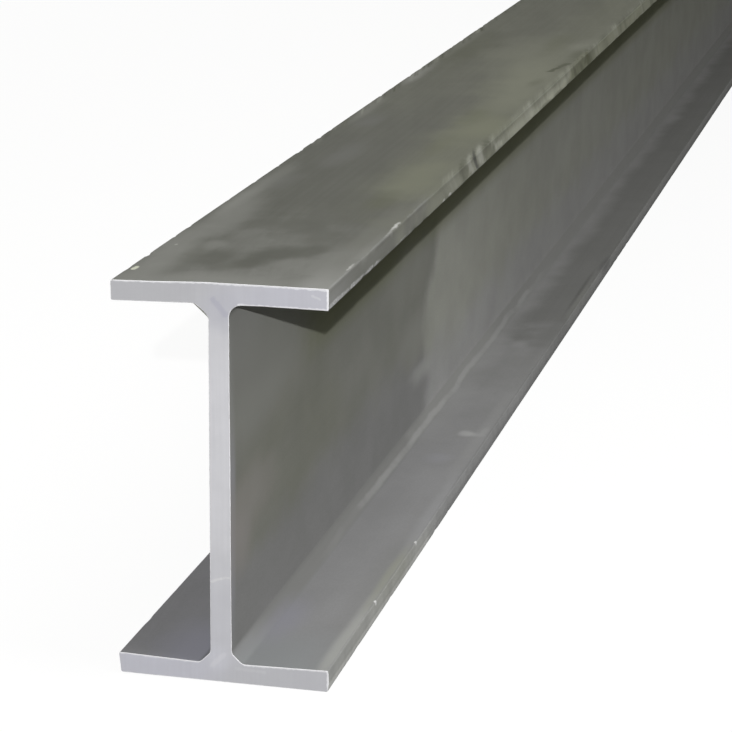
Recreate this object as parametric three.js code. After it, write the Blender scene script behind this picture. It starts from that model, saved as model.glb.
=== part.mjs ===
// A stock length of rolled steel I-beam: two parallel flanges joined by a web about as thick as they are, with a
// root fillet in each inner corner and a small radius along each edge of the flange toes. It is rolled as one piece
// and sawn square at both ends. Millimetres, +Z up: the beam lies along Y on its lower flange, and the origin is on
// the floor, under the web, halfway along.
import * as THREE from "three";

// The rolled section
const sectionDepth = 280; // from the underside of the lower flange to the top of the upper one
const flangeWidth = 150;
const flangeThickness = 14;
const webThickness = 14.5;
const rootRadius = 9; // fillet between the web and a flange
const toeRadius = 1.2; // along the four edges of each flange's toes

// The length that it is sold in
const stockLength = 6000;

// How finely the round stretches are divided
const rootSegments = 12;
const toeSegments = 4;

// Points along an arc of the section, in its own plane: x across the beam and y up from the middle of its depth.
function arc(centreX, centreY, radius, fromAngle, toAngle, segments) {
  const clockwise = toAngle < fromAngle;
  return new THREE.EllipseCurve(centreX, centreY, radius, radius, fromAngle, toAngle, clockwise).getPoints(segments);
}

// The upper right quarter of the outline: up the root fillet from the web's face, then out along the flange's inner
// face and round both edges of its toe to its outer face.
function quarterOutline() {
  const webFace = webThickness / 2;
  const outerFace = sectionDepth / 2;
  const innerFace = outerFace - flangeThickness;
  const toeCentreX = flangeWidth / 2 - toeRadius;
  const quarterTurn = Math.PI / 2;
  return [
    ...arc(webFace + rootRadius, innerFace - rootRadius, rootRadius, 2 * quarterTurn, quarterTurn, rootSegments),
    ...arc(toeCentreX, innerFace + toeRadius, toeRadius, -quarterTurn, 0, toeSegments),
    ...arc(toeCentreX, outerFace - toeRadius, toeRadius, 0, quarterTurn, toeSegments),
  ];
}

// The whole outline: the quarter and its mirror images in the web and in the middle of the depth. A mirrored quarter
// runs the other way, so it is reversed to keep the outline in one direction.
function sectionShape() {
  const upperRight = quarterOutline();
  const mirrored = (signX, signY) => upperRight.map((p) => new THREE.Vector2(signX * p.x, signY * p.y));
  return new THREE.Shape([
    ...upperRight,
    ...mirrored(-1, 1).reverse(),
    ...mirrored(-1, -1),
    ...mirrored(1, -1).reverse(),
  ]);
}

// The section drawn out to the stock length, laid along Y and stood on its lower flange.
function beamGeometry() {
  const geometry = new THREE.ExtrudeGeometry(sectionShape(), { depth: stockLength, bevelEnabled: false });
  geometry.rotateX(Math.PI / 2);
  geometry.translate(0, stockLength / 2, sectionDepth / 2);
  return geometry;
}

const rolledSteel = new THREE.MeshStandardMaterial({ color: 0x777773, roughness: 0.5, metalness: 0.85 });

const beam = new THREE.Mesh(beamGeometry(), rolledSteel);
beam.name = "i_beam";

const model = new THREE.Group();
model.add(beam);

export default model;
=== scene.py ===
"""Dresses the stock length of steel I-beam: its as-rolled, dark and rubbed skin, and its bright sawn ends."""
import math
import bpy
import numpy as np
from mathutils import Matrix, Vector
from mathutils.geometry import tessellate_polygon


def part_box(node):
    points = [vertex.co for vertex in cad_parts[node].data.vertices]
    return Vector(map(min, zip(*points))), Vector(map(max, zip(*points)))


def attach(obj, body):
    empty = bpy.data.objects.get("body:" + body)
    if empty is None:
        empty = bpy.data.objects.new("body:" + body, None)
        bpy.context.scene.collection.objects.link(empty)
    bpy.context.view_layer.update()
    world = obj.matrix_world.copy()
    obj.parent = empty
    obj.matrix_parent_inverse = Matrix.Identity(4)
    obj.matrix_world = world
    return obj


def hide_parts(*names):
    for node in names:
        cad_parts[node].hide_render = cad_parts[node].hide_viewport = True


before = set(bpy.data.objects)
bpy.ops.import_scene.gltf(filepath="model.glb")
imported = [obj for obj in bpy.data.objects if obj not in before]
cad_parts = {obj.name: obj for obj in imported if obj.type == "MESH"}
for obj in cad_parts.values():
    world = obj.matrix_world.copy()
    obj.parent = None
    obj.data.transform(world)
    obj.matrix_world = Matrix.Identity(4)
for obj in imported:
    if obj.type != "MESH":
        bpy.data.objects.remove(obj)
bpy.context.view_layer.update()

MM = 0.001
beam_low, beam_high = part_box("i_beam")
NEAR_END = beam_low[1]
FAR_END = beam_high[1]
BEAM_LENGTH = (FAR_END - NEAR_END) / MM  # millimetres
HALF_WIDTH = beam_high[0] / MM
DEPTH = beam_high[2] / MM


# ---------------------------------------------------------------- the rolled section

# Corners of the section as it left the mill, a little out of true: x, z, the radius that rounds the corner,
# the facets in that radius, and what the corner is. Millimetres, anticlockwise as seen from the near end.
SECTION = [
    (-72.7, 0.6, 1.3, 3, "toe"),
    (74.2, 0.02, 1.6, 3, "toe"),
    (75.0, 7.4, 20.0, 2, ""),
    (74.35, 15.4, 0.9, 3, "toe"),
    (14.4, 14.2, 5.0, 4, "root"),
    (6.75, 21.4, 5.0, 4, "root"),
    (7.4, 265.2, 8.6, 8, "root"),
    (30.0, 265.8, 60.0, 2, ""),
    (74.9, 265.4, 0.9, 3, "toe"),
    (75.0, 280.0, 1.0, 3, "toe"),
    (-8.0, 279.95, 160.0, 2, ""),
    (-42.0, 278.5, 120.0, 2, ""),
    (-74.0, 277.7, 1.2, 3, "toe"),
    (-73.9, 263.9, 1.0, 3, "toe"),
    (-17.2, 265.2, 3.5, 4, "root"),
    (-6.65, 255.6, 3.5, 4, "root"),
    (-8.3, 21.2, 5.0, 4, "root"),
    (-15.9, 13.4, 5.0, 4, "root"),
    (-74.15, 15.1, 1.2, 3, "toe"),
]

# Where some of the corners are in that list, the lower one first
UPPER_RIGHT_TOE = (8, 9)
UPPER_LEFT_TOE_TOP = 12
UPPER_LEFT_ROOT = (15, 14)

UPPER_SLOT, WEB_SLOT, LOWER_SLOT, SAWN_SLOT = range(4)  # the beam's materials
WEB_REACH = 17  # the web's material goes this far to either side, and between these heights
WEB_FOOT = 24
WEB_HEAD = 268
RIM = 0.3  # width of the broken edge round a sawn end
RIM_LAND = 0.7  # inset of the first ring on the sawn face itself
SAW_DEPTH = 1.2  # how much flatter the saw has dressed the left-hand root of the upper flange
SHARP_FROM = 35  # degrees between two faces


def round_corner(before, corner, after, radius, facets):
    """Points along the arc of this radius that touches both sides of a corner."""
    corner = Vector(corner)
    to_before = (Vector(before) - corner).normalized()
    to_after = (Vector(after) - corner).normalized()
    half_angle = to_before.angle(to_after) / 2
    reach = radius / math.tan(half_angle)
    centre = corner + (to_before + to_after).normalized() * (radius / math.sin(half_angle))
    first = corner + to_before * reach - centre
    last = corner + to_after * reach - centre
    sweep = first.angle(last)
    points = []
    for step in range(facets + 1):
        share = step / facets
        arm = (first * math.sin((1 - share) * sweep) + last * math.sin(share * sweep)) / math.sin(sweep)
        points.append(centre + arm)
    return points


def stretch_steps(length, first=1.2, growth=2.2, widest=22.0):
    """Distances along a straight stretch, close together near its ends and wide apart in its middle."""
    steps = []
    step = first
    at = first
    while at < length / 2 - first / 2:
        steps.append(at)
        step = min(step * growth, widest)
        at += step
    return steps + [length - at for at in reversed(steps)]


def section_outline():
    """The outline's points, and for each kind of corner where along the outline it lies, in millimetres."""
    count = len(SECTION)
    arcs = []
    for index, (x, z, radius, facets, kind) in enumerate(SECTION):
        before = SECTION[index - 1][:2]
        after = SECTION[(index + 1) % count][:2]
        arcs.append(round_corner(before, (x, z), after, radius, facets))
    points = []
    middles = []
    for index, arc in enumerate(arcs):
        middles.append(len(points) + len(arc) // 2)
        points.extend(arc)
        start = arc[-1]
        stop = arcs[(index + 1) % count][0]
        length = (stop - start).length
        points.extend(start.lerp(stop, at / length) for at in stretch_steps(length))
    points = np.array(points)
    steps = np.linalg.norm(np.roll(points, -1, axis=0) - points, axis=1)
    along = np.concatenate([[0], np.cumsum(steps)])
    corners = [along[middle] for middle in middles]
    return points, along[:-1], along[-1], corners


def outward_normals(points):
    """The outward direction at each point of an anticlockwise outline."""
    ahead = np.roll(points, -1, axis=0) - points
    ahead /= np.linalg.norm(ahead, axis=1)[:, None]
    tangent = ahead + np.roll(ahead, 1, axis=0)
    tangent /= np.linalg.norm(tangent, axis=1)[:, None]
    return np.stack([tangent[:, 1], -tangent[:, 0]], axis=1)


# Where the cross-sections stand: from, to (from the near end) and how far apart. Millimetres.
STATIONS = [(7.5, 500, 4.5), (500, 1300, 6.5), (1300, 2000, 10), (2000, BEAM_LENGTH - 30, 26)]
END_STATIONS = [RIM, 0.9, 2.0, 4.0]  # from each end


def station_places():
    """Distances of the cross-sections from the near end, closest together by that end."""
    places = list(END_STATIONS)
    for start, stop, step in STATIONS:
        places.extend(np.arange(start, stop, step))
    places.append(BEAM_LENGTH - 14)
    places.extend(BEAM_LENGTH - at for at in reversed(END_STATIONS))
    return np.array(places)


# ---------------------------------------------------------------- relief of the skin


def wander(seed, along, around, girth, cell_along, cell_around):
    """A smooth random field between about -1 and 1 over the skin, closed on itself round the section."""
    rng = np.random.default_rng(seed)
    rows = int(BEAM_LENGTH / cell_along) + 3
    columns = max(3, round(girth / cell_around))
    grid = rng.uniform(-1, 1, (rows, columns))
    row = along[:, None] / cell_along + np.zeros(len(around))[None, :]
    column = around[None, :] / girth * columns + np.zeros(len(along))[:, None]
    row_index = np.floor(row).astype(int)
    column_index = np.floor(column).astype(int)
    u = row - row_index
    v = column - column_index
    u = u * u * (3 - 2 * u)
    v = v * v * (3 - 2 * v)
    left = column_index % columns
    right = (column_index + 1) % columns
    near = grid[row_index, left] * (1 - v) + grid[row_index, right] * v
    far = grid[row_index + 1, left] * (1 - v) + grid[row_index + 1, right] * v
    return near * (1 - u) + far * u


def ring_distance(around, place, girth):
    """Distance along the outline from each of its points to one place, the short way round."""
    gap = np.abs(around - place)
    return np.minimum(gap, girth - gap)


def bump_shape(distance, reach):
    """1 at no distance, falling smoothly to 0 at the reach."""
    return np.clip(1 - (distance / reach) ** 2, 0, 1) ** 2


def edge_nicks(seed, along, around, girth, edge, count, deepest):
    """Small dents along one long edge, scattered over the whole length."""
    rng = np.random.default_rng(seed)
    near_edge = ring_distance(around, edge, girth)
    relief = np.zeros((len(along), len(around)))
    for _ in range(count):
        place = rng.uniform(0, BEAM_LENGTH)
        half_length = rng.uniform(2.5, 11)
        depth = deepest * rng.uniform(0.15, 1) ** 2
        reach = rng.uniform(1.6, 4.5)
        shape = bump_shape(along - place, half_length)[:, None] * bump_shape(near_edge, reach)[None, :]
        relief = np.minimum(relief, -depth * shape)
    return relief


def toe_gouges(seed, along, around, girth, low_edge, high_edge, clusters):
    """Slanting rubs and gouges across a toe, in clusters along the beam."""
    rng = np.random.default_rng(seed)
    middle = (low_edge + high_edge) / 2
    height = abs(high_edge - low_edge)
    across = around - middle
    on_toe = bump_shape(across, height * 0.75)
    relief = np.zeros((len(along), len(around)))
    for start, stop, count, depth in clusters:
        for _ in range(count):
            place = rng.uniform(start, stop)
            half_width = rng.uniform(3.5, 9.0)
            slant = rng.uniform(-1.8, -0.8)
            sunk = depth * rng.uniform(0.3, 1)
            distance = along[:, None] - place - slant * across[None, :]
            relief -= sunk * bump_shape(distance, half_width) * on_toe[None, :]
    return relief


# Waves of the skin: seed, height, and the size of a wave along the beam and round the section. Millimetres.
WAVES = [(11, 0.07, 260, 44), (12, 0.05, 70, 22)]

# Nicks along each edge of the toes, in the order of the section's corners: how deep at the most
TOE_NICKS = [0.5, 0.5, 0.5, 0.9, 0.9, 0.9, 0.9, 0.9]
NICKS_AN_EDGE = 70
MORE_NICKS = (130, 1.1)  # how many more the upper left edge has, and how deep
NICK_SEED = 30  # the first edge's; the others have the next ones
MORE_NICKS_SEED = 61

# Rubs on the toe of the upper flange: from, to (from the near end), how many, and how deep. Millimetres.
RUB_SEED = 51
TOE_RUBS = [
    (430, 560, 8, 0.45),
    (650, 770, 5, 0.3),
    (960, 1200, 12, 0.5),
    (1300, 5900, 90, 0.35),
]

# The burr left along the lower edge of that toe, strongest by the near end. Millimetres.
BURR_SEED = 71
BURR_STARTS = 6
BURR_ENDS = 420
BURR_ABOVE_EDGE = 1.2
BURR_REACH = 1.3
BURR_HEIGHT = 0.6
BURR_LUMPS = (7, 300)  # along the beam and round the section


def skin_relief(along, around, girth, corners):
    """How far the skin stands off the plain outline, and the masks that the material reads. Millimetres."""
    toes = [place for place, corner in zip(corners, SECTION) if corner[4] == "toe"]
    relief = sum(height * wander(seed, along, around, girth, *cell) for seed, height, *cell in WAVES)
    for index, (place, deepest) in enumerate(zip(toes, TOE_NICKS)):
        relief += edge_nicks(NICK_SEED + index, along, around, girth, place, NICKS_AN_EDGE, deepest)
    toe_low, toe_high = (corners[index] for index in UPPER_RIGHT_TOE)
    relief += toe_gouges(RUB_SEED, along, around, girth, toe_low, toe_high, TOE_RUBS)
    relief += edge_nicks(MORE_NICKS_SEED, along, around, girth, corners[UPPER_LEFT_TOE_TOP], *MORE_NICKS)
    fading = np.clip(1 - along / BURR_ENDS, 0, 1) ** 2 * np.clip(along / BURR_STARTS, 0, 1)
    ragged = 0.6 + 0.5 * wander(BURR_SEED, along, around, girth, *BURR_LUMPS)
    on_edge = bump_shape(ring_distance(around, toe_low + BURR_ABOVE_EDGE, girth), BURR_REACH)
    burr = np.clip(fading[:, None] * ragged * on_edge[None, :], 0, 1)
    relief += BURR_HEIGHT * burr
    edge = np.min([ring_distance(around, place, girth) for place in toes], axis=0)
    return relief, burr, np.broadcast_to(edge, relief.shape)


def end_skin(points, normals, around, girth, corners):
    """The outline at the sawn end, where the saw has dressed one root flatter."""
    low, high = (corners[index] for index in UPPER_LEFT_ROOT)
    flattened = bump_shape(ring_distance(around, (low + high) / 2, girth), abs(low - high) * 0.75)
    return points - normals * SAW_DEPTH * flattened[:, None]


def beam_mesh():
    """The whole beam as one closed mesh: the skin's three parts in slots 0 to 2, both sawn ends in slot 3."""
    points, around, girth, corners = section_outline()
    normals = outward_normals(points)
    along = station_places()
    relief, burr, edge = skin_relief(along, around, girth, corners)
    skin = points[None, :, :] + relief[:, :, None] * normals[None, :, :]
    dressed = end_skin(points, normals, around, girth, corners)
    skin[0] += dressed - points
    land = dressed - normals * RIM_LAND
    rim = dressed - normals * RIM
    rings = [(0.0, land), (0.0, rim)]
    rings += [(place, skin[index]) for index, place in enumerate(along)]
    far_rim = points - normals * RIM
    far_land = points - normals * RIM_LAND
    rings += [(BEAM_LENGTH, far_rim), (BEAM_LENGTH, far_land)]
    width = len(points)
    vertices = np.empty((len(rings), width, 3))
    for index, (place, outline) in enumerate(rings):
        vertices[index, :, 0] = np.clip(outline[:, 0], -HALF_WIDTH, HALF_WIDTH) * MM
        vertices[index, :, 1] = NEAR_END + place * MM
        vertices[index, :, 2] = np.clip(outline[:, 1], 0, DEPTH) * MM
    row = np.arange(len(rings) - 1)[:, None] * width
    column = np.arange(width)[None, :]
    following = (column + 1) % width
    quads = np.stack([row + column, row + width + column, row + width + following, row + following], axis=-1)
    faces = quads.reshape(-1, 4).tolist()
    strip = np.repeat(np.arange(len(rings) - 1), width)
    parts = np.tile(skin_parts(points), len(rings) - 1)
    slots = np.where((strip < 2) | (strip >= len(rings) - 3), SAWN_SLOT, parts).tolist()
    last = (len(rings) - 1) * width
    caps = cap_faces(land, 0, False) + cap_faces(far_land, last, True)
    faces.extend(caps)
    slots.extend([SAWN_SLOT] * len(caps))
    mesh = bpy.data.meshes.new("beam")
    mesh.from_pydata(vertices.reshape(-1, 3).tolist(), [], faces)
    mesh.polygons.foreach_set("material_index", slots)
    mesh.shade_smooth()
    mesh.set_sharp_from_angle(angle=math.radians(SHARP_FROM))
    none = np.zeros(width)
    rim_edge = none + RIM
    rim_inside = none + RIM + RIM_LAND
    store_mask(mesh, "burr", np.vstack([none, none, burr, none, none]))
    store_mask(mesh, "edge", np.vstack([edge[0], edge[0], edge, edge[0], edge[0]]))
    store_mask(mesh, "rim", np.vstack([rim_inside, rim_edge, 0 * burr, rim_edge, rim_inside]))
    return mesh


def skin_parts(points):
    """The slot of each stretch of the outline: upper flange, web with its upper roots, or lower flange."""
    middle = (points + np.roll(points, -1, axis=0)) / 2
    web = (np.abs(middle[:, 0]) < WEB_REACH) & (middle[:, 1] > WEB_FOOT) & (middle[:, 1] < WEB_HEAD)
    return np.where(web, WEB_SLOT, np.where(middle[:, 1] > DEPTH / 2, UPPER_SLOT, LOWER_SLOT))


def cap_faces(outline, start, far):
    """Triangles that close a sawn end and face out of it. Its vertices begin at start."""
    triangles = tessellate_polygon([[Vector((x, z, 0)) for x, z in outline]])
    turning = 0
    for triangle in triangles:
        a, b, c = (outline[corner] for corner in triangle)
        turning += (b[0] - a[0]) * (c[1] - a[1]) - (b[1] - a[1]) * (c[0] - a[0])
    anticlockwise = turning > 0
    step = 1 if anticlockwise != far else -1
    return [[start + corner for corner in triangle[::step]] for triangle in triangles]


def store_mask(mesh, name, values):
    """Keeps one number for each vertex, for a material to read."""
    layer = mesh.attributes.new(name, "FLOAT", "POINT")
    layer.data.foreach_set("value", np.ascontiguousarray(values, dtype=np.float32).ravel())


# ---------------------------------------------------------------- materials


class Wiring:
    """A node tree, with short ways to add nodes and to join them."""

    def __init__(self, tree):
        self.tree = tree

    def node(self, kind, settings=None, **inputs):
        """Adds a node. Inputs are sockets to join or values to set; _ stands for a space in a name."""
        node = self.tree.nodes.new("ShaderNode" + kind)
        for name, value in (settings or {}).items():
            setattr(node, name, value)
        for name, value in inputs.items():
            self.feed(node.inputs[name.replace("_", " ")], value)
        return node

    def feed(self, socket, value):
        """Joins a socket, or sets its value."""
        if isinstance(value, bpy.types.NodeSocket):
            self.tree.links.new(value, socket)
        else:
            socket.default_value = value

    def operation(self, kind, name, values):
        """A Math or Vector Math node that does this with the values."""
        node = self.node(kind, {"operation": name})
        for socket, value in zip(node.inputs, values):
            self.feed(socket, value)
        return node

    def math(self, name, *values):
        """The result of one Math node."""
        return self.operation("Math", name, values).outputs[0]

    def vector(self, name, *values):
        """The result of one Vector Math node."""
        node = self.operation("VectorMath", name, values)
        return node.outputs["Value"] if name in ("LENGTH", "DOT_PRODUCT", "DISTANCE") else node.outputs[0]

    def times(self, value, *others):
        """The product of two or more values."""
        for other in others:
            value = self.math("MULTIPLY", value, other)
        return value

    def shifted(self, value, by, factor):
        """A value moved by another that is first multiplied by a factor."""
        return self.math("MULTIPLY_ADD", by, factor, value)

    def first_of(self, vector):
        """The first of a vector's three numbers."""
        return self.node("SeparateXYZ", Vector=vector).outputs[0]

    def mask_of_mesh(self, name):
        """A mask that the mesh keeps at its vertices."""
        return self.node("Attribute", {"attribute_name": name}).outputs["Fac"]

    def ramp(self, value, low, high, to_low=0.0, to_high=1.0):
        """Spreads a value between two limits smoothly over another range."""
        node = self.node("MapRange", {"interpolation_type": "SMOOTHSTEP"}, Value=value,
                         From_Min=low, From_Max=high, To_Min=to_low, To_Max=to_high)
        return node.outputs["Result"]

    def tint(self, amount, under, over, blend="MIX"):
        """Lays one colour over another by an amount."""
        node = self.node("Mix", {"data_type": "RGBA", "blend_type": blend})
        self.feed(node.inputs[0], amount)
        self.feed(node.inputs[6], under)
        self.feed(node.inputs[7], over)
        return node.outputs[2]

    def group(self, tree, **inputs):
        """Places a node group with its own values, and returns its first output."""
        return self.node("Group", {"node_tree": tree}, **inputs).outputs[0]

    def cloud(self, place, seed, scale, low, high, **shape):
        """Places soft random clouds of this many cells a metre, which show where their noise is high."""
        return self.group(CLOUD, Vector=place, Seed=seed, Scale=scale, Low=low, High=high, **shape)


def mask_group(name, build, **inputs):
    """A shader node group for the mask that build wires, times a Strength. Inputs are name=starting value."""
    tree = bpy.data.node_groups.new(name, "ShaderNodeTree")
    for title, value in {"Vector": (0, 0, 0), **inputs, "Strength": 1.0}.items():
        kind = "NodeSocketVector" if isinstance(value, tuple) else "NodeSocketFloat"
        socket = tree.interface.new_socket(title, in_out="INPUT", socket_type=kind)
        socket.default_value = value
    tree.interface.new_socket("Mask", in_out="OUTPUT", socket_type="NodeSocketFloat")
    wiring = Wiring(tree)
    given = tree.nodes.new("NodeGroupInput").outputs
    out = tree.nodes.new("NodeGroupOutput").inputs
    wiring.feed(out["Mask"], wiring.times(build(wiring, given), given["Strength"]))
    return tree


def cloud(wiring, given):
    """Soft random clouds: Scale in cells a metre, Stretch shortens the cells along each axis."""
    place = wiring.vector("MULTIPLY", given["Vector"], given["Stretch"])
    noise = wiring.node("TexNoise", {"noise_dimensions": "4D"}, Vector=place, W=given["Seed"],
                        Scale=given["Scale"], Detail=given["Detail"], Roughness=0.55)
    return wiring.ramp(noise.outputs[0], given["Low"], given["High"])


def patch(wiring, given):
    """A soft oval patch round one place. Shift is a random vector that makes its border ragged."""
    offset = wiring.vector("SUBTRACT", given["Vector"], given["Centre"])
    offset = wiring.vector("DIVIDE", offset, given["Reach"])
    ragged = wiring.vector("MULTIPLY_ADD", given["Shift"], given["Raggedness"], offset)
    inner = wiring.math("SUBTRACT", 1.0, given["Softness"])
    outer = wiring.math("ADD", 1.0, given["Softness"])
    return wiring.ramp(wiring.vector("LENGTH", ragged), outer, inner)


def scratch(wiring, given):
    """A thin mark from one place to another. Shift is a random vector that makes it wander."""
    place = wiring.vector("MULTIPLY_ADD", given["Shift"], given["Wander"], given["Vector"])
    course = wiring.vector("SUBTRACT", given["To"], given["From"])
    offset = wiring.vector("SUBTRACT", place, given["From"])
    share = wiring.math("DIVIDE", wiring.vector("DOT_PRODUCT", offset, course),
                        wiring.vector("DOT_PRODUCT", course, course))
    share.node.use_clamp = True
    nearest = wiring.node("VectorMath", {"operation": "SCALE"}, Vector=course, Scale=share).outputs[0]
    distance = wiring.vector("DISTANCE", offset, nearest)
    return wiring.ramp(distance, given["Width"], wiring.times(given["Width"], 0.3))


def speckle(wiring, given):
    """Small specks: Scale in cells a metre, Size as a share of a cell, Share of the cells that hold one."""
    cells = wiring.node("TexVoronoi", Vector=given["Vector"], Scale=given["Scale"])
    dot = wiring.ramp(cells.outputs["Distance"], given["Size"], wiring.times(given["Size"], 0.4))
    drawn = wiring.first_of(cells.outputs["Color"])
    return wiring.times(dot, wiring.math("LESS_THAN", drawn, given["Share"]))


def edge_wear(wiring, given):
    """Rubbed metal along an edge: Distance to it and Width in one unit, broken up at Scale cells a metre."""
    noise = wiring.node("TexNoise", Vector=given["Vector"], Scale=given["Scale"], Detail=3.0)
    lack = wiring.times(wiring.ramp(noise.outputs[0], 0.35, 0.65), given["Breaks"])
    reach = wiring.times(given["Width"], wiring.math("SUBTRACT", 1.0, lack))
    return wiring.ramp(given["Distance"], reach, wiring.times(reach, 0.2))


CLOUD = mask_group("Cloud", cloud, Scale=10.0, Stretch=(1, 1, 1), Detail=3.0, Low=0.4, High=0.6, Seed=0.0)
PATCH = mask_group("Patch", patch, Centre=(0, 0, 0), Reach=(0.1, 0.1, 0.1), Softness=0.5, Shift=(0, 0, 0),
                   Raggedness=0.5)
SCRATCH = mask_group("Scratch", scratch, From=(0, 0, 0), To=(0, 0.1, 0), Width=0.001, Shift=(0, 0, 0),
                     Wander=0.002)
SPECKLE = mask_group("Speckle", speckle, Scale=200.0, Size=0.25, Share=0.2)
EDGE_WEAR = mask_group("Edge wear", edge_wear, Distance=0.0, Width=2.0, Scale=120.0, Breaks=0.5)


def grey(level, warmth=0.0, blue=0.0, pink=0.0):
    """A grey of this level as it shows on a screen (0 to 255), warmer, bluer or pinker by a few steps."""
    def linear(step):
        share = step / 255
        return share / 12.92 if share <= 0.04045 else ((share + 0.055) / 1.055) ** 2.4
    red = level + warmth * 0.25 + pink
    green = level + warmth * 0.4
    return (linear(red), linear(green), linear(level - warmth + blue), 1.0)


def spot(x, y, z):
    """A place on the beam: millimetres across, from the near end, and up."""
    return (x * MM, NEAR_END + y * MM, z * MM)


def size(x, y, z):
    """Millimetres as metres."""
    return (x * MM, y * MM, z * MM)


OLIVE = 7.0  # steps of warmth in the brownish parts of the skin
TOP = 279  # height of the upper flange's top
LOW_TOP = 14  # height of the lower flange's top
SMEAR_ACROSS = 4.5  # how far smears run along the beam for each step they take across it
SMEAR_UP = 1.4  # and for each step up its toes
UPPER_TOE_TURN = (-205.4, -204.1)  # x less z where the round upper edge of a right toe turns down
LOWER_TOE_TURN = (58.6, 59.8)
DULL = 0.05  # how metallic the skin is where it is whole


class Coat:
    """A material while it is built up: its wiring, its shader's inputs, its places and its colour so far."""

    def __init__(self, name, colour):
        self.material = bpy.data.materials.new(name)
        self.material.use_nodes = True
        self.wiring = Wiring(self.material.node_tree)
        self.inputs = self.material.node_tree.nodes["Principled BSDF"].inputs
        self.place = self.wiring.node("TexCoord").outputs["Object"]
        self.colour = colour

    def shaken(self, scale, detail):
        """A random vector of about -0.5 to 0.5 each way, for ragged borders."""
        noise = self.wiring.node("TexNoise", Vector=self.place, Scale=scale, Detail=detail)
        return self.wiring.vector("SUBTRACT", noise.outputs["Color"], (0.5, 0.5, 0.5))

    def lay(self, amount, tone):
        """Lays a tone over the colour so far by an amount."""
        self.colour = self.wiring.tint(amount, self.colour, tone)

    def patches(self, rows, shift, height=None):
        """Patches of tone. Those with no z lie at this height and reach 6 mm up."""
        for centre, reach, softness, raggedness, strength, tone in rows:
            if len(centre) == 2:
                centre = (*centre, height)
                reach = (*reach, 6)
            mark = self.wiring.group(PATCH, Vector=self.place, Centre=spot(*centre), Reach=size(*reach),
                                     Softness=softness, Shift=shift, Raggedness=raggedness, Strength=strength)
            self.lay(mark, grey(*tone))

    def scratches(self, rows, shift):
        """Scratches: from, to, width, how far they wander, how strong, and the tone."""
        for start, stop, width, wandering, strength, tone in rows:
            mark = self.wiring.group(SCRATCH, Vector=self.place, From=spot(*start), To=spot(*stop),
                                     Width=width * MM, Shift=shift, Wander=wandering * MM, Strength=strength)
            self.lay(mark, grey(*tone))

    def finished(self, height, depth, surface):
        """Joins the colour, a fine relief of this depth and the surface's other values to the shader."""
        bump = self.wiring.node("Bump", Height=height, Strength=0.2, Distance=depth * MM).outputs[0]
        for name, value in {"Base Color": self.colour, "Normal": bump, **surface}.items():
            self.wiring.feed(self.inputs[name], value)
        return self.material


# Clouds of scale, streaks from the rolls and fine grain: seed, cells a metre, stretch, detail, where their
# noise begins to show, how strong, and the tone
SKIN_LAYERS = [
    (2, 19.0, (1, 0.7, 1), 3.0, 0.3, 0.13, (90, 3)),
    (3, 240.0, (1, 0.015, 1), 1.0, 0.35, 0.03, (160, 0)),
    (4, 700.0, (1, 0.5, 1), 2.0, 0.25, 0.08, (80, 3)),
]


class Skin(Coat):
    """A part of the rolled skin, with the places that its tones are laid by."""

    def __init__(self, name, colour=None):
        super().__init__(name, colour)
        wiring = self.wiring
        self.x, along, self.z = wiring.node("SeparateXYZ", Vector=self.place).outputs
        self.from_near = wiring.math("SUBTRACT", along, NEAR_END)
        self.coarse = self.shaken(16.0, 3.5)
        self.drift = wiring.first_of(self.coarse)
        self.bend = wiring.first_of(self.shaken(38.0, 2.5))
        self.uneven_x = wiring.shifted(self.x, self.drift, 0.03)
        self.uneven_y = wiring.shifted(self.from_near, self.drift, 0.25)
        self.mottle = None
        self.grain = None

    def spread(self, place, low, high, *ends):
        """Spreads a place between two limits in millimetres from 0 to 1, or over another range."""
        return self.wiring.ramp(place, low * MM, high * MM, *ends)

    def across(self, low, high):
        """From 0 to 1 across the beam."""
        return self.spread(self.x, low, high)

    def up(self, low, high):
        """From 0 to 1 with the height."""
        return self.spread(self.z, low, high)

    def along(self, start, stop, *ends):
        """From 0 to 1, or over another range, along the beam from its near end."""
        return self.spread(self.from_near, start, stop, *ends)

    def about(self, start, stop, *ends):
        """The same with an uneven border."""
        return self.spread(self.uneven_y, start, stop, *ends)

    def round_edge(self, turn):
        """From 0 to 1 over a toe's rounded upper edge."""
        return self.spread(self.wiring.math("SUBTRACT", self.x, self.z), *turn)

    def tones_along(self, tone, changes):
        """A tone that changes along the beam. Each change says from where, to where, and into which tone."""
        for start, stop, following in changes:
            tone = self.wiring.tint(self.about(start, stop), tone, grey(*following))
        return tone

    def scale_and_grain(self):
        """Clouds of scale, streaks from the rolls and fine grain."""
        layers = []
        for seed, scale, stretch, detail, low, strength, tone in SKIN_LAYERS:
            layer = self.wiring.cloud(self.place, seed, scale, low, 1 - low, Stretch=stretch, Detail=detail)
            self.lay(self.wiring.times(layer, strength), grey(*tone))
            layers.append(layer)
        self.mottle, _, self.grain = layers

    def rolled(self, bare=None):
        """The finished material, which shines more where its metal is bare."""
        return self.finished(self.grain, 0.1, {
            "Metallic": self.wiring.shifted(DULL, bare, 0.6) if bare else DULL,
            "Roughness": self.wiring.ramp(self.mottle, 0.0, 1.0, 0.48, 0.6),
            "Specular IOR Level": 0.0,
            "Specular Tint": (0.3, 0.3, 0.3, 1),
        })


def paler_stretch_with_painted_light(skin):
    """Where the skin of the web is paler, from 0.6 m on and fading; further along this is also painted light,
    which makes up for the lamps' fall-off along the beam.
    """
    wiring = skin.wiring
    border = wiring.shifted(wiring.shifted(skin.from_near, skin.drift, 0.05), skin.bend, 0.03)
    border = wiring.shifted(border, skin.up(120, 170), -0.045)
    return wiring.times(skin.spread(border, 590, 635), skin.along(620, 1200, 1.0, 0.48))


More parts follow.
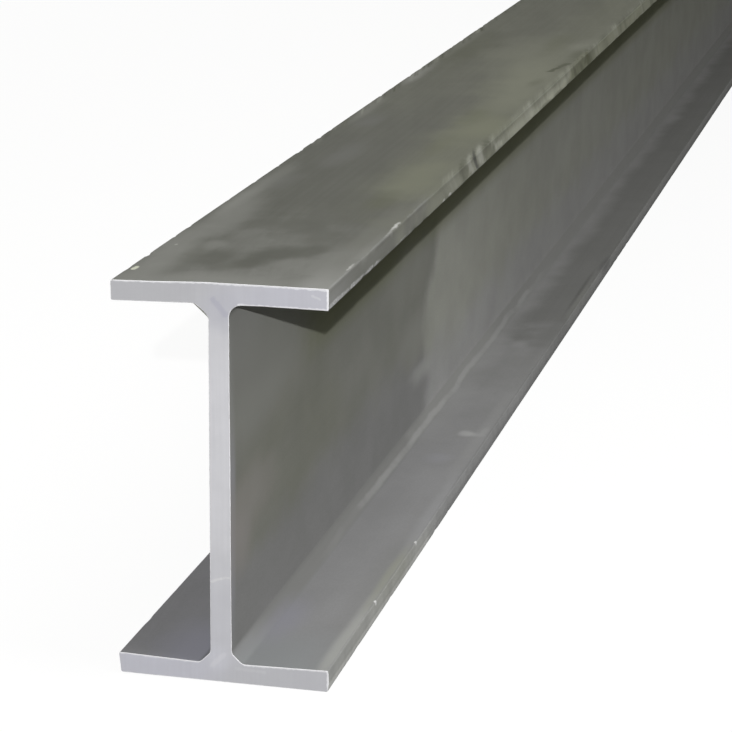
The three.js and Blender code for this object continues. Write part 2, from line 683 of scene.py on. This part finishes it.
# Soft tone patches on the web: place (x, y from the near end, z), reach along each axis, softness,
# raggedness, how strong, and the tone as for grey. Millimetres.
WEB_TONES = [
    # a bluish painted highlight along the near edge, grey higher up, a pinkish cast, a pale tongue and the
    # dark under it
    ((7, 4, 140), (5, 8, 85), 0.6, 0.2, 0.55, (168, -3, 5)),
    ((7, 26, 240), (5, 50, 30), 0.7, 0.8, 0.6, (158, 1)),
    ((7, 70, 200), (5, 120, 36), 0.8, 0.8, 0.8, (154, 3)),
    ((7, 34, 118), (5, 66, 20), 0.7, 1.2, 0.6, (151, 3, 1, 4)),
    ((7, 18, 92), (5, 26, 20), 0.7, 0.9, 0.6, (153, 2, 2, 5)),
    ((7, 545, 165), (5, 70, 20), 0.8, 0.8, 0.45, (150, 5)),
    ((7, 565, 100), (5, 55, 20), 0.8, 0.9, 0.6, (150, 4)),
    ((7, 602, 60), (5, 32, 9), 0.7, 1.6, 0.7, (170, 1)),
    ((7, 576, 66), (5, 28, 5), 0.8, 2.0, 0.5, (165, 1)),
    ((7, 590, 46), (5, 32, 10), 0.7, 0.9, 0.6, (140, 0)),
]


def web_skin():
    """Dark, matt mill skin: clouded, olive above and grey below, darker and brown under the upper flange as
    painted shade, and paler further along, partly as painted light.
    """
    skin = Skin("web_skin")
    wiring = skin.wiring
    uneven_z = wiring.shifted(skin.z, skin.drift, 0.06)
    broad = wiring.cloud(skin.place, 1, 3.5, 0.35, 0.65, Stretch=(1.6, 0.7, 1.4))
    olive = wiring.tint(broad, grey(142, OLIVE * 0.5), grey(135, OLIVE * 0.9))
    skin.colour = wiring.tint(skin.spread(uneven_z, 60, 100), grey(143), olive)
    # A paler stretch from 0.6 m on: partly the skin's own tone, partly painted light that makes up for the
    # lamps' fall-off along the beam
    paler = wiring.tint(skin.spread(uneven_z, 40, 90), grey(174), grey(171, 5))
    skin.lay(paler_stretch_with_painted_light(skin), paler)
    # Painted shade: darker and browner under the upper flange, where its shadow falls, fading in from the
    # near end
    skin.lay(wiring.times(skin.up(164, 190), skin.about(120, 280), 0.92), grey(122, 16))
    skin.scale_and_grain()
    skin.patches(WEB_TONES, skin.coarse)
    return skin.rolled()


# Soft tone patches on the top, laid out as for the web but with no z
TOP_TONES = [
    # light by the near end and along both edges
    ((0, 4), (80, 20), 0.8, 0.6, 0.7, (134, 3)),
    ((68, 12), (12, 34), 0.8, 0.8, 0.8, (156, 2)),
    ((-60, 130), (13, 150), 0.7, 1.8, 0.75, (131, 3)),
    ((-52, 230), (14, 46), 0.7, 2.0, 0.7, (125, 3)),
    ((-66, 285), (7, 50), 0.8, 2.0, 0.6, (138, 3)),
    ((-64, 360), (8, 70), 0.8, 1.2, 0.5, (130, 3)),
    ((-67, 690), (6, 60), 0.8, 1.2, 0.5, (134, 4)),
    ((-67, 905), (6, 60), 0.8, 1.2, 0.6, (144, 3)),
    ((-67, 1110), (6, 70), 0.8, 1.2, 0.5, (136, 4)),
    ((66, 60), (15, 70), 0.7, 1.0, 0.6, (129, 3)),
    ((66, 190), (11, 90), 0.8, 1.0, 0.5, (121, 5)),
    ((74, 118), (5, 62), 0.7, 1.0, 0.25, (148, 3)),
    ((74, 520), (4, 240), 0.8, 1.0, 0.4, (132, 8)),
    ((74, 900), (4, 200), 0.8, 1.2, 0.5, (132, 8)),
    # clouded dark between
    ((-24, 74), (16, 22), 0.5, 1.7, 0.7, (95, 4)),
    ((5, 64), (12, 17), 0.5, 1.7, 0.75, (92, 4)),
    ((-8, 46), (10, 12), 0.5, 1.8, 0.4, (100, 4)),
    ((-42, 84), (7, 26), 0.6, 1.9, 0.5, (108, 4)),
    ((14, 92), (16, 22), 0.5, 1.8, 0.75, (90, 4)),
    ((36, 104), (11, 20), 0.5, 1.8, 0.7, (94, 4)),
    ((2, 178), (20, 22), 0.6, 1.8, 0.7, (97, 4)),
    ((30, 150), (14, 24), 0.6, 1.8, 0.5, (99, 4)),
    ((-28, 185), (12, 18), 0.6, 1.8, 0.5, (98, 4)),
    ((-36, 114), (7, 13), 0.6, 1.6, 0.6, (128, 3)),
    ((-25, 150), (8, 18), 0.6, 1.6, 0.5, (120, 3)),
    ((32, 62), (9, 14), 0.6, 1.5, 0.5, (127, 3)),
    ((-50, 346), (9, 28), 0.8, 1.5, 0.45, (114, 2)),
    ((-32, 469), (12, 48), 0.8, 1.5, 0.6, (114, 2)),
    ((-51, 635), (10, 32), 0.8, 1.5, 0.55, (114, 2)),
    # olive towards the right, with darker marks
    ((20, 1060), (40, 110), 0.8, 1.2, 0.55, (124, 8)),
    ((52, 760), (20, 60), 0.8, 1.4, 0.4, (124, 9)),
    ((50, 372), (20, 60), 0.7, 1.5, 0.7, (120, 10)),
    ((52, 610), (22, 70), 0.7, 1.5, 0.7, (122, 11)),
    ((45, 890), (28, 130), 0.8, 1.3, 0.7, (127, 9)),
    ((42, 286), (9, 32), 0.8, 1.6, 0.6, (99, 9)),
    ((38, 515), (9, 36), 0.8, 1.6, 0.4, (106, 11)),
    ((37, 677), (10, 40), 0.8, 1.6, 0.45, (105, 11)),
    ((57, 869), (6, 24), 0.8, 1.9, 0.4, (96, 8)),
    ((66, 972), (7, 34), 0.8, 1.8, 0.4, (98, 8)),
    ((34, 1138), (12, 60), 0.8, 1.6, 0.4, (98, 9)),
    ((64, 1128), (11, 40), 0.8, 1.4, 0.5, (134, 7)),
    ((70, 1064), (8, 44), 0.8, 1.8, 0.5, (92, 9)),
    ((-52, 1080), (20, 100), 0.8, 1.4, 0.5, (94, 8)),
]

# A tone patch on the toe of the upper flange, which is dark beyond a metre
TOE_TONES = [
    ((75, 1048, 271), (6, 80, 10), 0.4, 0.8, 0.85, (124, 12)),
]

# Strokes on that toe, slanting as smears do: place, half their width, height of their middle, reach up and
# down, how strong, and the tone. They change the skin by as much as they differ from the plain tone.
PLAIN_STROKE = grey(160, 8)
STROKES = [
    (273, 26, 279, 4.5, 0.5, (170, 6)),
    (432, 14, 274, 10, 0.8, (134, 8)),
    (456, 8, 277, 10, 0.7, (192, 6)),
    (477, 6, 275, 11, 0.85, (108, 2)),
    (498, 11, 277, 11, 0.7, (198, 6)),
    (531, 21, 273, 10, 0.85, (126, 8)),
    (594, 34, 275, 9, 0.5, (174, 8)),
    (573, 16, 270.5, 3.5, 0.75, (196, 8)),
    (737, 10, 276, 9, 0.5, (176, 7)),
    (760, 6, 275, 9, 0.4, (138, 8)),
    (780, 16, 278, 8, 0.55, (172, 7)),
    (815, 6, 276, 8, 0.4, (140, 8)),
    (840, 18, 275, 7, 0.4, (176, 8)),
    (806, 26, 267, 2, 0.6, (120, 9)),
    (880, 22, 267, 2, 0.6, (120, 9)),
    (925, 34, 279, 8, 0.7, (174, 8)),
    (956, 11, 276, 9, 0.8, (190, 8)),
    (986, 7, 271, 8, 0.5, (122, 8)),
    (1028, 8, 269, 6, 0.5, (130, 8)),
    (1070, 18, 273, 8, 0.75, (126, 10)),
    (1140, 14, 273, 8, 0.35, (180, 8)),
]

# Small bright marks on the upper flange, laid out as tone patches
TOP_FLECKS = [
    ((-69, 36, TOP - 1), (2.2, 5.0, 4), 0.3, 1.6, 0.9, (205, 12)),
    ((-64, 111, TOP - 1), (1.0, 2.2, 4), 0.3, 1.6, 0.7, (160, 4)),
    ((73.4, 64, TOP + 1), (1.0, 8, 3), 0.6, 2.4, 0.8, (184, 2)),
    ((73.4, 200, TOP + 1), (1.3, 11, 3), 0.6, 2.4, 0.85, (196, 2)),
    ((74.0, 180, TOP + 1), (0.9, 14, 3), 0.7, 2.4, 0.6, (172, 2)),
    ((74.8, 360, 266.8), (3, 4, 1.6), 0.4, 1.6, 0.8, (200, 4)),
    ((74.8, 384, 267.2), (3, 5, 1.6), 0.4, 1.6, 0.8, (205, 4)),
]

# Scratches on the top: from, to, width, how far they wander, how strong, and the tone
TOP_SCRATCHES = [
    ((59, 10, TOP), (66, 25, TOP), 0.7, 2, 0.8, (200, 0)),
    ((66, 56, TOP), (72, 64, TOP), 0.6, 2, 0.5, (175, 0)),
    ((58, 942, TOP), (62, 968, TOP), 5.0, 9, 0.75, (84, 8)),
    ((62, 968, TOP), (67, 1000, TOP), 4.5, 9, 0.65, (86, 8)),
    ((70, 1016, TOP), (74, 1050, TOP), 1.6, 6, 0.5, (84, 8)),
]

# Smears over both long edges of the top: seed, where their noise begins to show, how strong on the left and
# on the right, and the tone
EDGE_SMEARS = [
    (8, 0.44, 0.75, 0.28, (78, 7)),
    (9, 0.48, 0.25, 0.34, (176, 7)),
]


def smears_over_edges(skin, smeared):
    """Light and dark smears over both long edges of the top, slanting, from where they begin."""
    wiring = skin.wiring
    right = wiring.times(skin.across(66.0, 74.5), skin.up(263, 265), skin.about(300, 420))
    left = skin.spread(wiring.shifted(skin.x, skin.bend, 0.02), -64, -70)
    left = wiring.times(left, skin.up(262, 264), skin.about(300, 600))
    for seed, low, on_left, on_right, tone in EDGE_SMEARS:
        smears = wiring.cloud(smeared, seed, 27.0, low, low + 0.22, Stretch=(0.5, 1, 0.3), Detail=4.0)
        amount = wiring.shifted(wiring.times(right, on_right), left, on_left)
        skin.lay(wiring.times(smears, amount), grey(*tone))


def upper_flange_skin():
    """Dark skin on the top, clouded and olive, smeared over its edges, darker and brown underneath as painted
    shade, and a grey and then stroked toe, painted lighter than the top as painted light.
    """
    skin = Skin("upper_flange_skin", grey(139, OLIVE * 0.7))
    wiring = skin.wiring
    fine = skin.shaken(110.0, 2.0)
    smear = wiring.shifted(skin.from_near, wiring.math("SUBTRACT", skin.z, DEPTH * MM), SMEAR_UP)
    smear = wiring.shifted(smear, wiring.math("SUBTRACT", skin.x, HALF_WIDTH * MM), SMEAR_ACROSS)
    smeared = wiring.node("CombineXYZ", X=skin.x, Y=smear, Z=skin.z).outputs[0]

    # Painted shade: brown and darker under the flange, and grey on the left toe; the top lighter by the near
    # end, and olive on its right
    below = skin.spread(wiring.math("ABSOLUTE", skin.x), 73.8, 72.5)
    skin.lay(wiring.times(below, 0.92), grey(123, 14))
    top = skin.up(275.7, 277)
    top_tone = wiring.tint(skin.about(20, 250), grey(127, 3), grey(103, 4))
    right = wiring.times(skin.spread(skin.uneven_x, 0, 45), skin.about(160, 340))
    top_tone = wiring.tint(right, top_tone, grey(115, 8))
    top_tone = wiring.tint(skin.about(450, 1000, 0.0, 0.6), top_tone, grey(117, 7))
    skin.lay(top, top_tone)

    # The toe on the right: plain grey up to where the smears begin, painted lighter than the top as painted
    # light that makes up for the lamps lighting this side less
    toe = wiring.times(skin.across(72.5, 73.7), skin.up(264, 265.2), skin.round_edge(UPPER_TOE_TURN))
    toe_tone_with_painted_light = wiring.tint(skin.along(0, 90), grey(157, 1), grey(133, 4))
    later = [(200, 300, (153, 9)), (530, 620, (184, 11)), (930, 1030, (155, 12))]
    skin.lay(toe, skin.tones_along(toe_tone_with_painted_light, later))

    skin.scale_and_grain()
    smears = wiring.cloud(smeared, 7, 20.0, 0.36, 0.66, Stretch=(1, 0.45, 1))
    skin.lay(wiring.times(smears, top, skin.along(100, 350, 0.3, 0.14)), grey(88, 4))
    blotches = wiring.cloud(skin.place, 11, 26.0, 0.47, 0.56, Stretch=(1, 0.8, 1), Detail=4.0)
    skin.lay(wiring.times(blotches, top, skin.along(150, 450, 0.24, 0.05)), grey(94, 4))
    skin.patches(TOP_TONES, skin.coarse, TOP)
    skin.patches(TOE_TONES, skin.coarse)

    smears_over_edges(skin, smeared)
    strokes = PLAIN_STROKE
    for along, half_width, middle, reach, strength, tone in STROKES:
        stroke = wiring.group(PATCH, Vector=smeared, Centre=size(75, along, middle),
                              Reach=size(10, half_width, reach), Softness=0.45, Shift=fine, Raggedness=1.3,
                              Strength=strength)
        strokes = wiring.tint(stroke, strokes, grey(*tone))
    share = wiring.tint(1.0, strokes, PLAIN_STROKE, "DIVIDE")
    skin.colour = wiring.tint(skin.across(64, 74), skin.colour, share, "MULTIPLY")

    # Rubbed edges by the near end, painted shade along the edges further off that damps the highlight their
    # rounding catches, and the burr with its specks
    edge = wiring.mask_of_mesh("edge")
    wear = wiring.group(EDGE_WEAR, Vector=skin.place, Distance=edge, Width=1.8, Scale=70.0, Breaks=1.0)
    wear = wiring.times(wear, 0.14, skin.about(220, 340, 1.0, 0.0))
    skin.lay(wear, grey(166, 0, 2))
    # Painted shade along the edges beyond 0.3 m, against the highlight on their rounding
    skin.lay(wiring.times(wiring.ramp(edge, 1.2, 0.1), skin.about(300, 420, 0.0, 0.12)), grey(88, 6))
    burr = wiring.ramp(wiring.mask_of_mesh("burr"), 0.06, 0.3)
    specks = wiring.group(SPECKLE, Vector=skin.place, Scale=760.0, Size=0.6, Share=0.6)
    bright = wiring.times(burr, wiring.shifted(0.3, specks, 0.5))
    skin.lay(bright, grey(222, 0, 2))
    skin.patches(TOP_FLECKS, fine)
    skin.scratches(TOP_SCRATCHES, fine)
    return skin.rolled(bare=wiring.math("MAXIMUM", wiring.times(wear, 1.2), bright))


# Soft tone patches on the lower flange, laid out as on the top
LOW_TONES = [
    # bluish near the end
    ((38, 12), (45, 45), 0.8, 0.5, 0.7, (146, 0, 2, -3)),
    ((-26, 24), (24, 46), 0.8, 0.8, 0.8, (144, 0, 11)),
    ((21, 90), (11, 36), 0.9, 1.0, 0.45, (148, -3, 9)),
    # light scuffs across it
    ((56, 566), (6, 8.5), 0.6, 2.8, 0.58, (174, 0)),
    ((63, 565), (7, 6), 0.6, 2.6, 0.45, (170, 0)),
    ((69, 576), (3, 14), 0.6, 2.4, 0.5, (164, 0)),
    ((30, 346), (14, 46), 0.9, 0.8, 0.35, (128, 0)),
    ((45, 492), (10, 12), 0.8, 1.2, 0.4, (152, -2, 4)),
    ((44, 885), (8, 11), 0.8, 1.4, 0.4, (154, 0)),
    # a lighter and then olive edge, and a dark far one
    ((64, 190), (9, 130), 0.9, 0.8, 0.4, (133, 1)),
    ((71, 60), (5, 80), 0.7, 1.0, 0.8, (168, 2)),
    ((71, 200, LOW_TOP - 3), (4, 70, 10), 0.7, 1.0, 0.6, (155, 9)),
    ((70, 352), (5, 80), 0.7, 1.5, 0.5, (158, 0, 2)),
    ((68, 560), (5, 130), 0.8, 1.8, 0.4, (154, 0)),
    ((72, 1090), (3, 80), 0.7, 1.4, 0.3, (138, 4)),
    ((66, 920), (9, 70), 0.8, 1.2, 0.5, (116, 1)),
    ((67, 1130), (1.8, 100), 0.7, 1.2, 0.5, (90, 2)),
    ((73, 1262), (4, 30), 0.7, 1.2, 0.5, (94, 0)),
]

# Small bright marks on the lower flange, laid out as tone patches
LOW_FLECKS = [
    ((74, 138, LOW_TOP + 0.5), (1.2, 2.2, 3), 0.3, 1.6, 0.9, (225, 0)),
    ((74, 272, LOW_TOP + 0.5), (1.2, 2.6, 3), 0.3, 1.6, 0.9, (215, 0)),
]


def root_of_lower_flange(skin):
    """The root on the right, duller than the flange, with a painted highlight, a light streak that wanders
    along it.
    """
    wiring = skin.wiring
    root = wiring.times(skin.across(0, 4), skin.across(18, 13.5), skin.up(11.5, 13), skin.up(24.1, 20))
    tone = skin.tones_along(grey(124, 1), [(510, 600, (134, 1)), (780, 1050, (122, 1))])
    tone = wiring.tint(skin.along(20, 100, 0.5, 0.0), tone, grey(150, -1, 1))
    skin.lay(wiring.times(root, 0.92), tone)
    # A painted highlight: a light streak that wanders along the root, where its rounding catches the lamps
    streak = wiring.group(SCRATCH, Vector=skin.place, From=spot(12.8, 150, 15.6), To=spot(14.2, 1400, 14.8),
                          Width=3.8 * MM, Shift=skin.coarse, Wander=9 * MM, Strength=0.46)
    broken = wiring.shifted(0.3, wiring.cloud(skin.place, 12, 17.0, 0.36, 0.56), 0.65)
    streak = wiring.times(streak, broken, skin.along(160, 460), skin.along(1280, 1050))
    skin.lay(streak, skin.tones_along(grey(166), [(700, 1000, (152, 0))]))


def lower_flange_skin():
    """Paler skin: grey up to about a metre, longer beside the root, and painted light on the toe, palest
    along its foot.
    """
    skin = Skin("lower_flange_skin", grey(143))
    wiring = skin.wiring
    fine = skin.shaken(110.0, 2.0)
    # The paler stretch by the root: partly the skin's own tone, partly painted light
    skin.lay(paler_stretch_with_painted_light(skin), grey(174))
    low_tone = wiring.tint(skin.across(-20, 20), grey(136, -1, 2), grey(147, -1))
    low_tone = skin.tones_along(low_tone, [(450, 850, (139, 0)), (860, 980, (120, 1))])
    beside_root = wiring.times(skin.spread(skin.uneven_x, 42, 18), skin.about(500, 650, 0.0, 0.55))
    low_tone = wiring.tint(beside_root, low_tone, grey(157))
    # Painted light on the toe, palest along its foot and by the near end, which makes up for the shade on its
    # rounded side
    toe = wiring.times(skin.across(71.5, 72.8), skin.round_edge(LOWER_TOE_TURN))
    toe_tone_with_painted_light = wiring.tint(skin.up(4.5, 7.5), grey(224, 2), grey(189, 2))
    toe_tone_with_painted_light = skin.tones_along(toe_tone_with_painted_light, [(260, 400, (170, 0, 1)), (600, 1000, (156, 0))])
    skin.lay(skin.up(22.5, 15.5), wiring.tint(toe, low_tone, toe_tone_with_painted_light))

    skin.scale_and_grain()
    root_of_lower_flange(skin)
    skin.patches(LOW_TONES, skin.coarse, LOW_TOP)
    down = wiring.cloud(skin.place, 10, 60.0, 0.4, 0.65, Stretch=(0.2, 1, 0.2))
    skin.lay(wiring.times(down, toe, 0.2), grey(124))
    edge = wiring.mask_of_mesh("edge")
    # Painted shade along the edges beyond 0.3 m, which damps the highlight their rounding catches
    skin.lay(wiring.times(wiring.ramp(edge, 1.5, 0.3), skin.about(300, 420, 0.15, 0.3)), grey(108, 2))
    skin.patches(LOW_FLECKS, fine)
    return skin.rolled()


# Soft tone patches on the sawn ends, laid out as for the web
SAWN_TONES = [
    ((-50, 0, 272), (45, 30, 20), 0.6, 0.6, 0.8, (157, 0, 3)),
    ((52, 0, 272), (38, 30, 20), 0.6, 0.6, 0.8, (164, 0, 8)),
    ((0, 0, 165), (30, 30, 88), 0.5, 0.6, 1.0, (180, -2, 1)),
    ((0, 0, 45), (30, 30, 30), 0.5, 0.6, 0.9, (168, 0, 5)),
    ((4, 0, 262), (14, 30, 14), 0.6, 0.6, 0.5, (155, 0, 9)),
    ((-45, 0, 8), (42, 30, 16), 0.6, 0.6, 0.8, (166, 0, 9)),
    ((45, 0, 8), (40, 30, 16), 0.6, 0.6, 0.8, (160, 0, 4)),
    ((-3, 0, 17), (7, 30, 9), 0.7, 0.6, 0.45, (176, 0, 8)),
]

# Scratches and smears on the sawn ends, and light lines along their edges that are partly the burr and partly
# painted highlight, laid out as on the top
SAWN_MARKS_AND_HIGHLIGHTS = [
    ((-3, 0, 268), (5, 0, 259), 3.2, 2, 0.45, (142, 0, 12)),
    ((-7, 0, 72), (0, 0, 75), 1.3, 2, 0.45, (190, 0, 0)),
    ((0, 0, 75), (6, 0, 76), 1.1, 2, 0.4, (186, 0, 0)),
    ((-7, 0, 12), (1, 0, 20), 2.6, 2, 0.4, (180, 0, 4)),
    ((10, 0, 11), (30, 0, 10), 1.6, 2, 0.2, (176, 0, 3)),
    ((64, 0, 275), (69, 0, 273), 1.2, 2, 0.4, (184, 0, 2)),
    # Light lines along the edges, mostly on the sides that face the lamps: partly the burr, partly painted
    # highlight
    ((-73, 0, 277.4), (-8, 0, 279.4), 1.0, 2, 0.5, (206, 0, 2)),
    ((-8, 0, 279.4), (74, 0, 279.4), 1.0, 2, 0.55, (210, 0, 2)),
    ((74.4, 0, 266.5), (74.4, 0, 279.5), 1.1, 2, 0.6, (226, 0, 2)),
    ((14, 0, 266.0), (74, 0, 265.9), 1.0, 2, 0.55, (208, 0, 2)),
    ((16, 0, 13.8), (74, 0, 15.0), 1.0, 2, 0.5, (206, 0, 2)),
    ((-74, 0, 14.7), (-17, 0, 13.1), 1.0, 2, 0.45, (204, 0, 2)),
    ((74.2, 0, 2), (74.0, 0, 14.5), 1.1, 2, 0.6, (214, 0, 2)),
]


def sawn_end():
    """Bright, pale sawn steel with fine saw lines, a lighter rim, and light lines along its edges that are
    partly its burr and partly painted highlight.
    """
    coat = Coat("sawn_end", grey(160, 0, 4))
    wiring = coat.wiring
    coat.patches(SAWN_TONES, coat.shaken(40.0, 3.0))
    coat.lay(wiring.cloud(coat.place, 6, 45.0, 0.3, 0.7, Strength=0.15), grey(143, 0, 4))
    lines = wiring.cloud(coat.place, 5, 420.0, 0.3, 0.7, Stretch=(1, 1, 0.03), Detail=2.0)
    coat.lay(wiring.times(lines, 0.1), grey(140, 0, 4))
    coat.scratches(SAWN_MARKS_AND_HIGHLIGHTS, coat.shaken(300.0, 2.0))
    rim = wiring.group(EDGE_WEAR, Vector=coat.place, Distance=wiring.mask_of_mesh("rim"), Width=0.95,
                       Scale=150.0, Breaks=0.5, Strength=0.75)
    coat.lay(rim, grey(214, 0, 2))
    return coat.finished(lines, 0.05, {"Metallic": 0.15, "Roughness": 0.5, "Specular IOR Level": 0.1})


# ---------------------------------------------------------------- the beam


def new_object(name, data):
    """An object in the scene with this mesh, lamp or camera."""
    thing = bpy.data.objects.new(name, data)
    bpy.context.scene.collection.objects.link(thing)
    return thing


beam = new_object("rolled_beam", beam_mesh())
for material in (upper_flange_skin(), web_skin(), lower_flange_skin(), sawn_end()):
    beam.data.materials.append(material)
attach(beam, "root")
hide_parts("i_beam")


# ---------------------------------------------------------------- floor, light and camera

FLOOR_REACH = 30.0
FLOOR_BOUNCE = 0.12  # the share of light that the floor throws back at the beam
FLOOR_WHITE = 0.9  # added for the camera and for reflections, which makes the lit floor white
AMBIENT = 0.14
AMBIENT_TINT = (1.0, 1.0, 0.84, 1)  # the light in the shadows is a little warm
KEY_LEVEL = 1.35  # 1 lights a surface that faces the lamp so that its colour shows as written
NEAR_OVERHEAD_LEVEL = 0.42
LONG_OVERHEAD_LEVEL = 0.2
FILL_LEVEL = 0.5


def seen_directly(wiring):
    """1 for rays from the camera, from reflections and through glass, and 0 for light that falls."""
    path = wiring.node("LightPath").outputs
    seen = wiring.math("MAXIMUM", path["Is Camera Ray"], path["Is Glossy Ray"])
    return wiring.math("MAXIMUM", seen, path["Is Transmission Ray"])


def pale_floor():
    """A plain floor that shows white, throws back little light and keeps the beam's shadow."""
    mesh = bpy.data.meshes.new("floor")
    reach = FLOOR_REACH
    mesh.from_pydata([(-reach, -reach, 0), (reach, -reach, 0), (reach, reach, 0), (-reach, reach, 0)], [],
                     [(0, 1, 2, 3)])
    floor = new_object("floor", mesh)
    material = bpy.data.materials.new("pale_floor")
    material.use_nodes = True
    material.node_tree.nodes.clear()
    wiring = Wiring(material.node_tree)
    bounce = wiring.node("BsdfDiffuse", Color=(FLOOR_BOUNCE, FLOOR_BOUNCE, FLOOR_BOUNCE, 1))
    strength = wiring.times(seen_directly(wiring), FLOOR_WHITE)
    glow = wiring.node("Emission", Color=(1, 1, 1, 1), Strength=strength)
    both = wiring.node("AddShader")
    wiring.feed(both.inputs[0], bounce.outputs[0])
    wiring.feed(both.inputs[1], glow.outputs[0])
    wiring.node("OutputMaterial", Surface=both.outputs[0])
    mesh.materials.append(material)


def white_room():
    """Even light from all round, and a white background."""
    world = bpy.data.worlds.new("white_room")
    bpy.context.scene.world = world
    world.use_nodes = True
    wiring = Wiring(world.node_tree)
    background = world.node_tree.nodes["Background"]
    seen = seen_directly(wiring)
    wiring.feed(background.inputs["Color"], wiring.tint(seen, AMBIENT_TINT, (1, 1, 1, 1)))
    wiring.feed(background.inputs["Strength"], wiring.ramp(seen, 0.0, 1.0, AMBIENT, 1.0))


def add_lamp(name, place, aim, level, width, length=None):
    """A soft lamp at a place, turned towards another, that lights it at this level."""
    data = bpy.data.lights.new(name, "AREA")
    data.shape = "RECTANGLE" if length else "DISK"
    data.size = width
    if length:
        data.size_y = length
    place = Vector(place)
    reach = Vector(aim) - place
    data.energy = math.pi ** 2 * reach.length ** 2 * level
    lamp = new_object(name, data)
    lamp.location = place
    lamp.visible_camera = False
    lamp.rotation_euler = reach.to_track_quat("-Z", "Y").to_euler()


pale_floor()
white_room()
toe_foot = Vector((0.075, NEAR_END, 0.266))
near_top = (0.04, NEAR_END + 0.3, 0.15)
middle = NEAR_END + 3.5
add_lamp("key", toe_foot + Vector((1.22, -4.59, 1.52)), toe_foot, KEY_LEVEL, 0.05)
add_lamp("near_overhead", (1.15, NEAR_END + 0.1, 2.5), near_top, NEAR_OVERHEAD_LEVEL, 0.9, 2.0)
add_lamp("long_overhead", (0.3, middle, 4.5), (0.0, middle, 0.28), LONG_OVERHEAD_LEVEL, 3.0, 7.0)
add_lamp("left_fill", (-5.0, 0.5, 1.4), (0.0, 0.5, 0.14), FILL_LEVEL, 1.5, 6.0)
add_lamp("far_fill", (-1.5, FAR_END + 5.0, 0.3), (0.0, FAR_END, 0.14), FILL_LEVEL, 2.0, 0.5)


def add_camera(place, yaw, pitch, roll, lens):
    """A camera at a place, turned left from +Y by the yaw, down by the pitch and then rolled. Degrees."""
    yaw, pitch, roll = (math.radians(angle) for angle in (yaw, pitch, roll))
    forward = Vector((-math.sin(yaw) * math.cos(pitch), math.cos(yaw) * math.cos(pitch), -math.sin(pitch)))
    right = Vector((math.cos(yaw), math.sin(yaw), 0))
    down = forward.cross(right)
    level_right = math.cos(roll) * right - math.sin(roll) * down
    level_down = math.sin(roll) * right + math.cos(roll) * down
    data = bpy.data.cameras.new("camera")
    data.lens = lens
    data.sensor_width = 36
    data.clip_end = 100
    camera = new_object("camera", data)
    turned = Matrix((level_right, -level_down, -forward)).transposed().to_4x4()
    turned.translation = Vector(place)
    camera.matrix_world = turned
    bpy.context.scene.camera = camera


add_camera((0.4804, NEAR_END - 1.5732, 0.6729), yaw=13.594, pitch=15.294, roll=0.174, lens=127.03)
bpy.context.scene.view_settings.view_transform = "Standard"
